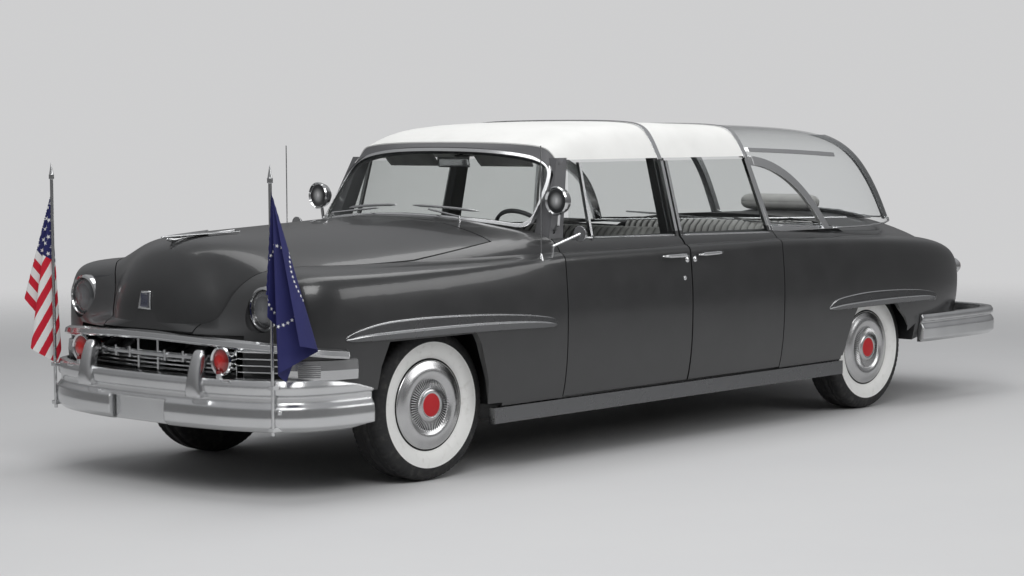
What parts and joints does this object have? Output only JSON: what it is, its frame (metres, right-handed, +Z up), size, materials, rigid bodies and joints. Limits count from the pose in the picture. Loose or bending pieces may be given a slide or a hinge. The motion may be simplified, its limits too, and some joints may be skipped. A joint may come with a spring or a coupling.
{
  "type": "stretch limousine",
  "caption": "Long dark parade car with four doors, white roof over the front half, clear dome over the rear seat, flags on the front wings.",
  "frame": {"origin": "on the ground under the middle of the car's length and width", "axes": "+X to the car's left, +Y towards the tail, +Z up"},
  "size_m": [2.1698, 6.287, 1.7195],
  "materials": {
    "body_paint": "deep gloss charcoal",
    "white_roof": "white coated cloth",
    "roof_grey": "satin grey",
    "bright_metal": "polished plate",
    "screen_glass": "clear",
    "dome_clear": "clear moulded sheet",
    "frame_black": "satin black",
    "cast_metal": "painted casting",
    "steel": "forged",
    "tyre_rubber": "black with a white side band",
    "wheel_metal": "polished cap with a red centre",
    "lamp_glass": "ribbed clear lens",
    "red_lamp": "red lens",
    "seat_grey": "pleated grey cloth",
    "dark_plastic": "dark",
    "flag_blue": "navy cloth with white stars",
    "flag_stripes": "red and white stripes with a blue canton"
  },
  "bodies": {
    "car": {"aerials": "bright_metal", "body_tub": "body_paint", "bright_mouldings": "bright_metal", "chassis_frame": "frame_black", "dashboard": "dark_plastic", "dome_frame": "bright_metal", "dome_glass": "dome_clear", "engine_block": "cast_metal", "exhaust": "frame_black", "flag_left": "flag_blue", "flag_right": "flag_stripes", "flag_staffs": "bright_metal", "front_bumper": "bright_metal", "front_seat": "seat_grey", "front_wings": "body_paint", "grille": "bright_metal", "headlamps": "lamp_glass", "mirrors": "bright_metal", "radiator": "frame_black", "rear_axle": "frame_black", "rear_bumper": "bright_metal", "rear_seat": "seat_grey", "roof_hoops": "bright_metal", "roof_panels": "white_roof", "shelf_roll": "seat_grey", "side_lamps": "lamp_glass", "siren_lamps": "red_lamp", "spotlights": "bright_metal", "tail_lamps": "red_lamp", "windscreen_frame": "bright_metal", "windscreen_glass": "screen_glass", "windscreen_surround": "roof_grey", "wipers": "bright_metal"},
    "front_door_left": {"front_door_left": "body_paint", "front_glass_left": "screen_glass"},
    "front_door_right": {"front_door_right": "body_paint", "front_glass_right": "screen_glass"},
    "rear_door_left": {"rear_door_left": "body_paint", "rear_glass_left": "screen_glass"},
    "rear_door_right": {"rear_door_right": "body_paint", "rear_glass_right": "screen_glass"},
    "bonnet": {"bonnet": "body_paint", "bonnet_ornament": "bright_metal"},
    "boot_lid": {"boot_lid": "body_paint"},
    "steering_wheel": {"steering_wheel": "dark_plastic"},
    "knuckle_left": {"knuckle_left": "steel"},
    "knuckle_right": {"knuckle_right": "steel"},
    "wheel_front_left": {"tyre_front_left": "tyre_rubber", "wheel_front_left": "wheel_metal"},
    "wheel_front_right": {"tyre_front_right": "tyre_rubber", "wheel_front_right": "wheel_metal"},
    "wheel_rear_left": {"tyre_rear_left": "tyre_rubber", "wheel_rear_left": "wheel_metal"},
    "wheel_rear_right": {"tyre_rear_right": "tyre_rubber", "wheel_rear_right": "wheel_metal"}
  },
  "joints": [
    {"name": "steer_left", "type": "hinge", "parent": "car", "child": "knuckle_left", "pos_m": [0.69, -2.056, 0.365], "axis": [0, 0, 1], "range_deg": [-28, 28]},
    {"name": "spin_front_left", "type": "hinge", "parent": "knuckle_left", "child": "wheel_front_left", "pos_m": [0.76, -2.056, 0.365], "axis": [1, 0, 0], "continuous": true},
    {"name": "spin_rear_left", "type": "hinge", "parent": "car", "child": "wheel_rear_left", "pos_m": [0.76, 1.627, 0.365], "axis": [1, 0, 0], "continuous": true},
    {"name": "front_door_hinge_left", "type": "hinge", "parent": "car", "child": "front_door_left", "pos_m": [0.976, -1.202, 0.75], "axis": [0, 0, 1], "range_deg": [-65, 0]},
    {"name": "rear_door_hinge_left", "type": "hinge", "parent": "car", "child": "rear_door_left", "pos_m": [0.976, 0.634, 0.75], "axis": [0, 0, 1], "range_deg": [0, 65]},
    {"name": "steer_right", "type": "hinge", "parent": "car", "child": "knuckle_right", "pos_m": [-0.69, -2.056, 0.365], "axis": [0, 0, 1], "range_deg": [-28, 28]},
    {"name": "spin_front_right", "type": "hinge", "parent": "knuckle_right", "child": "wheel_front_right", "pos_m": [-0.76, -2.056, 0.365], "axis": [1, 0, 0], "continuous": true},
    {"name": "spin_rear_right", "type": "hinge", "parent": "car", "child": "wheel_rear_right", "pos_m": [-0.76, 1.627, 0.365], "axis": [1, 0, 0], "continuous": true},
    {"name": "front_door_hinge_right", "type": "hinge", "parent": "car", "child": "front_door_right", "pos_m": [-0.976, -1.202, 0.75], "axis": [0, 0, 1], "range_deg": [0, 65]},
    {"name": "rear_door_hinge_right", "type": "hinge", "parent": "car", "child": "rear_door_right", "pos_m": [-0.976, 0.634, 0.75], "axis": [0, 0, 1], "range_deg": [-65, 0]},
    {"name": "bonnet_hinge", "type": "hinge", "parent": "car", "child": "bonnet", "pos_m": [0, -1.536, 1.232], "axis": [1, 0, 0], "range_deg": [-50, 0]},
    {"name": "boot_lid_hinge", "type": "hinge", "parent": "car", "child": "boot_lid", "pos_m": [0, 2.187, 1.146], "axis": [1, 0, 0], "range_deg": [0, 60]},
    {"name": "steering_wheel_turn", "type": "hinge", "parent": "car", "child": "steering_wheel", "pos_m": [0.37, -0.816, 1.085], "axis": [0, 0.769, 0.6392], "range_deg": [-450, 450]}
  ],
  "couplings": [
    {"joint": "steer_right", "follows": "steer_left", "ratio": 1},
    {"joint": "steering_wheel_turn", "follows": "steer_left", "ratio": 16}
  ]
}
